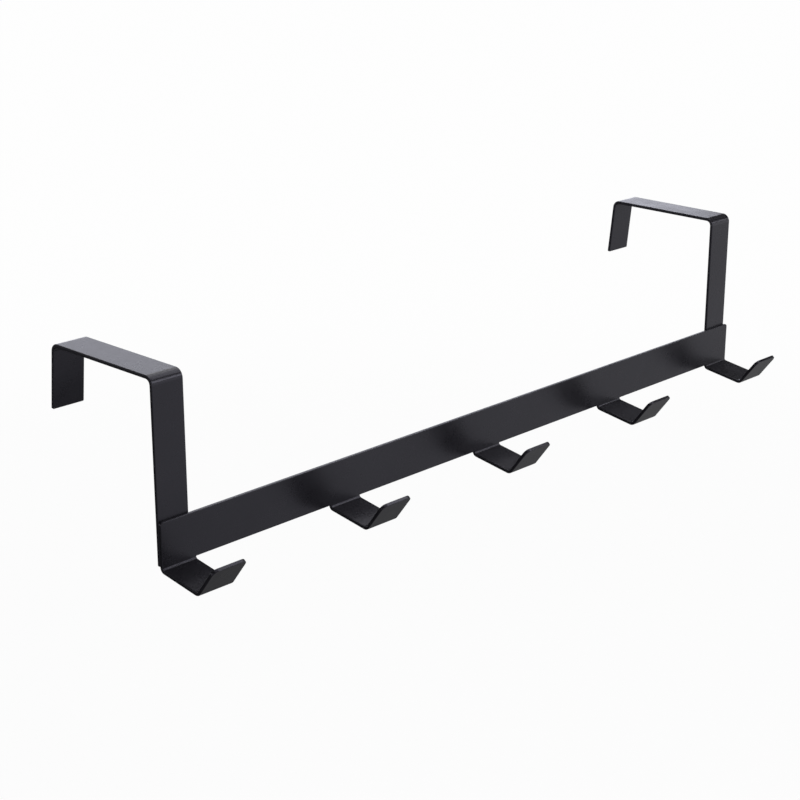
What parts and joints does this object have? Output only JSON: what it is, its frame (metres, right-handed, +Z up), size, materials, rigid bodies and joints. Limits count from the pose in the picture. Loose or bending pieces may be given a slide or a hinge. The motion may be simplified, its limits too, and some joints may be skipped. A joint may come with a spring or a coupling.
{
  "type": "over door hook",
  "caption": "Rack that hangs over the top of a door: a flat rail with hooks bent from its lower edge and two folded flat straps that grip the door's top.",
  "frame": {"origin": "on the front top edge of the door, midway along the rail: the door's front face is y = 0 and its top edge is z = 0", "axes": "+X along the rail to the right as seen from the hooks, +Y into the door, away from the hooks, +Z up"},
  "size_m": [0.3, 0.0783, 0.0656],
  "materials": {
    "black_powder_coat": "satin black powder coat on steel sheet"
  },
  "bodies": {
    "root": {"hook_rail": "black_powder_coat", "left_door_bracket": "black_powder_coat", "right_door_bracket": "black_powder_coat"}
  },
  "joints": []
}
